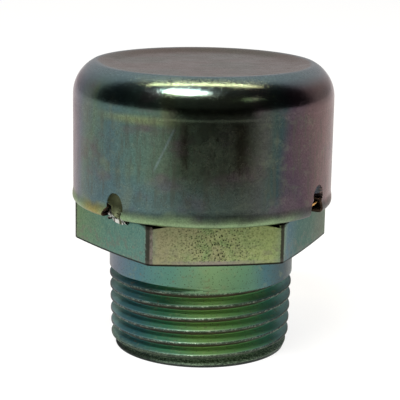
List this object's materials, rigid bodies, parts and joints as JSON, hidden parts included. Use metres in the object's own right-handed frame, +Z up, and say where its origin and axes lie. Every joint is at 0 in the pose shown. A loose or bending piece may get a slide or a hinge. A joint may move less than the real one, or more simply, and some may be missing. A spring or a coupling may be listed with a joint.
{
  "type": "breather vent",
  "caption": "Tank breather vent: drawn steel cap staked on a hexagonal body with a male taper pipe thread and a wire filter inside.",
  "frame": {"origin": "centre of the threaded end, on the plane of its end face", "axes": "+Z up along the vent's axis, from the threaded end to the cap; -Y is the outward normal of one flat of the hexagon"},
  "size_m": [0.0376, 0.0376, 0.0417],
  "materials": {
    "plated_body": "zinc plated, iridescent green chromate, turned",
    "plated_cap": "zinc plated, iridescent green and mauve chromate, drawn sheet",
    "bronze_wire": "knitted wire, bright",
    "brass_gauze": "woven wire, bright"
  },
  "bodies": {
    "root": {"body": "plated_body", "cap": "plated_cap", "filter_pad": "bronze_wire", "filter_screen": "brass_gauze"}
  },
  "joints": []
}
